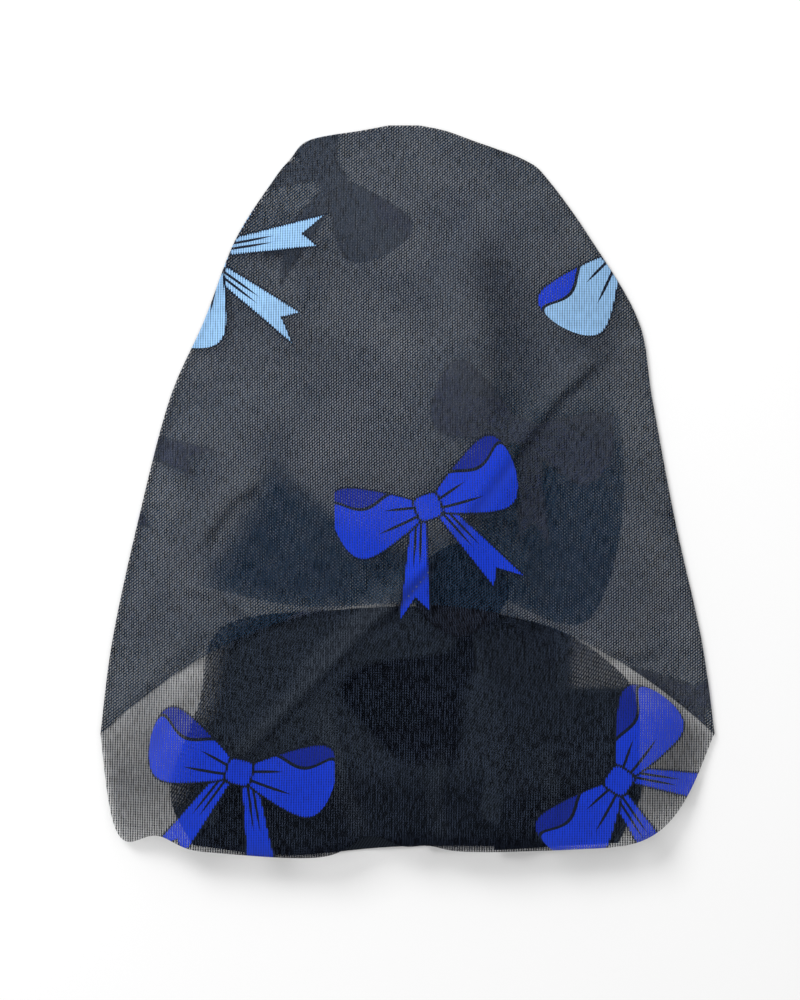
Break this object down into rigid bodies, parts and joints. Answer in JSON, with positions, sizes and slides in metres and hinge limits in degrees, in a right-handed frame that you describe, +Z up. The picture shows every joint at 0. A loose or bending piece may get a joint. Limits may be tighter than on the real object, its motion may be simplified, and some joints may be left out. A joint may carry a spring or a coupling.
{
  "type": "pre-tied bandana",
  "caption": "Pre-tied bandana of sheer printed knit mesh lying flat, a hollow bag-shaped crown of two panels with a turned hem, gathered ties, a nape knot and flared tails.",
  "frame": {"origin": "middle of the flat outline, on the surface that the bandana lies on", "axes": "+Z up from the surface, +Y from the front hem to the top of the crown, +X to the right seen from above with the front face up"},
  "size_m": [0.326, 0.3895, 0.0244],
  "materials": {
    "knit_mesh": "sheer charcoal knit mesh with a two-blue print",
    "turned_hem": "turned and sewn edge of the same knit",
    "doubled_knit": "the same knit sewn double and gathered"
  },
  "bodies": {
    "root": {"crown_front": "knit_mesh", "crown_back": "knit_mesh", "hem": "turned_hem", "knot": "doubled_knit", "tie_left": "doubled_knit", "tie_right": "doubled_knit", "tail_left": "doubled_knit", "tail_right": "doubled_knit"}
  },
  "joints": []
}
